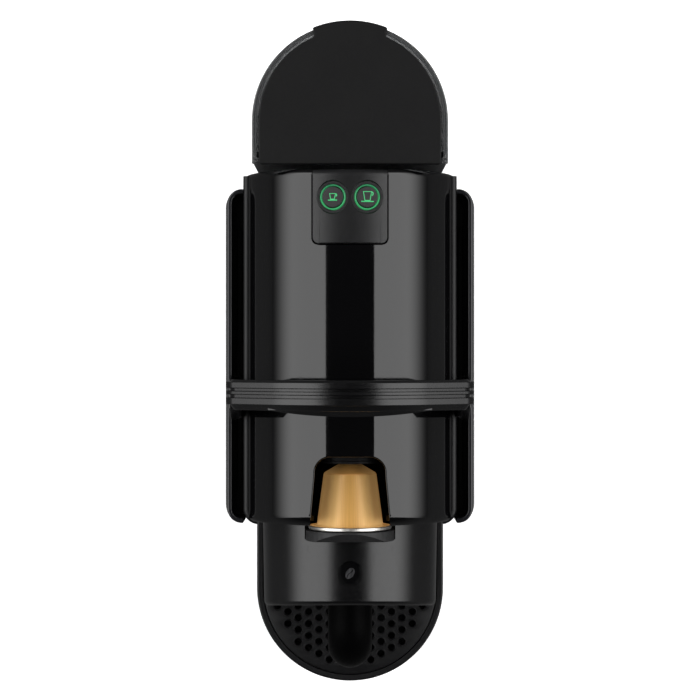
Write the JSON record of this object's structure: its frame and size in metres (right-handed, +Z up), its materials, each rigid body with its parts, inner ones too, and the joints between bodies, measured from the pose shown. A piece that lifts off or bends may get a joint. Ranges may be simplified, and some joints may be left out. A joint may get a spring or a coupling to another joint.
{
  "type": "pod coffee machine",
  "caption": "Narrow pod coffee machine with an arched casing, a U-shaped closing lever, a spout over a drip tray and a rear water tank with a hinged lid.",
  "frame": {"origin": "middle of the footprint, on the surface that the feet stand on", "axes": "+X to the right as seen from the front, +Y from the spout towards the water tank, +Z up"},
  "size_m": [0.12, 0.321, 0.2644],
  "materials": {
    "gloss_black": "gloss",
    "satin_black": "satin, fine texture",
    "matte_black": "matte",
    "lid_black": "matte",
    "smoked_clear": "clear, lightly smoked",
    "white_plastic": "moulded",
    "grey_plastic": "moulded",
    "rubber": "matte",
    "silicone": "matte",
    "steel": "brushed",
    "cast_aluminium": "as cast",
    "gold_aluminium": "brushed, gold coloured",
    "foil": "foil",
    "copper": "wound copper wire",
    "board_green": "coated circuit board",
    "green_light": "lit light guide"
  },
  "bodies": {
    "housing": {"barrel_shell": "gloss_black", "base_plate": "matte_black", "brew_frame": "steel", "brew_hose": "silicone", "bush_left": "white_plastic", "bush_right": "white_plastic", "cable_gland": "rubber", "capsule_chute": "matte_black", "cheek_left": "gloss_black", "cheek_right": "gloss_black", "coffee_spout": "satin_black", "control_board": "board_green", "control_panel": "satin_black", "extraction_plate": "matte_black", "flow_meter": "white_plastic", "foot_front_left": "rubber", "foot_front_right": "rubber", "foot_rear_left": "rubber", "foot_rear_right": "rubber", "head_badge": "gloss_black", "head_cover": "satin_black", "light_ring_espresso": "green_light", "light_ring_lungo": "green_light", "pressure_hose": "silicone", "pump_coil": "copper", "pump_mount_lower": "rubber", "pump_mount_upper": "rubber", "pump_tube": "steel", "rear_panel": "matte_black", "screw_left": "steel", "screw_right": "steel", "socket_seal": "silicone", "suction_hose": "silicone", "supply_hose": "silicone", "switch_board": "board_green", "tank_socket": "grey_plastic", "thermoblock": "cast_aluminium", "thermostat": "white_plastic"},
    "lever_arm": {"lever": "satin_black", "crank_left": "steel", "crank_right": "steel"},
    "brewing_carriage": {"carriage": "grey_plastic", "brew_cage": "grey_plastic", "piercing_blades": "steel", "cage_seal": "silicone"},
    "capsule": {"capsule_body": "gold_aluminium", "capsule_foil": "foil"},
    "espresso_key": {"button_espresso": "matte_black"},
    "lungo_key": {"button_lungo": "matte_black"},
    "tank": {"water_tank": "smoked_clear", "tank_filter": "white_plastic"},
    "lid": {"tank_lid": "lid_black"},
    "valve": {"tank_valve": "white_plastic", "valve_spring": "steel"},
    "drip_drawer": {"drip_tray": "satin_black", "capsule_container": "matte_black"},
    "cup_grid": {"drip_grid": "satin_black"},
    "plunger": {"pump_plunger": "steel", "pump_spring": "steel"},
    "rotor": {"flow_rotor": "grey_plastic"}
  },
  "joints": [
    {"name": "lever_pivot", "type": "hinge", "parent": "housing", "child": "lever_arm", "pos_m": [0, -0.007, 0.18], "axis": [1, 0, 0], "range_deg": [0, 69]},
    {"name": "carriage_slide", "type": "slide", "parent": "housing", "child": "brewing_carriage", "axis": [0, -1, 0], "range_m": [0, 0.028]},
    {"name": "capsule_lift", "type": "slide", "parent": "housing", "child": "capsule", "axis": [0, 0, 1], "range_m": [0, 0.06]},
    {"name": "espresso_press", "type": "slide", "parent": "housing", "child": "espresso_key", "axis": [0.1598, 0, -0.9872], "range_m": [0, 0.0015], "stiffness_N_per_m": 400, "springref_m": -0.002},
    {"name": "lungo_press", "type": "slide", "parent": "housing", "child": "lungo_key", "axis": [-0.1598, 0, -0.9872], "range_m": [0, 0.0015], "stiffness_N_per_m": 400, "springref_m": -0.002},
    {"name": "tank_lift", "type": "slide", "parent": "housing", "child": "tank", "axis": [0, 0, 1], "range_m": [0, 0.19]},
    {"name": "lid_hinge", "type": "hinge", "parent": "tank", "child": "lid", "pos_m": [0, 0.101, 0.2095], "axis": [1, 0, 0], "range_deg": [0, 85]},
    {"name": "valve_lift", "type": "slide", "parent": "tank", "child": "valve", "axis": [0, 0, 1], "range_m": [0, 0.003], "stiffness_N_per_m": 100, "springref_m": -0.004, "deforming": ["valve_spring"]},
    {"name": "drawer_slide", "type": "slide", "parent": "housing", "child": "drip_drawer", "axis": [0, -1, 0], "range_m": [0, 0.11]},
    {"name": "grid_lift", "type": "slide", "parent": "drip_drawer", "child": "cup_grid", "axis": [0, 0, 1], "range_m": [0, 0.05]},
    {"name": "plunger_stroke", "type": "slide", "parent": "housing", "child": "plunger", "axis": [0, 0, 1], "range_m": [-0.003, 0.003], "stiffness_N_per_m": 2500, "deforming": ["pump_spring"]},
    {"name": "rotor_spin", "type": "hinge", "parent": "housing", "child": "rotor", "pos_m": [0.025, 0.066, 0.017], "axis": [0, 0, 1], "continuous": true}
  ],
  "couplings": [
    {"joint": "carriage_slide", "follows": "lever_pivot", "m_per_rad": 0.023167}
  ]
}
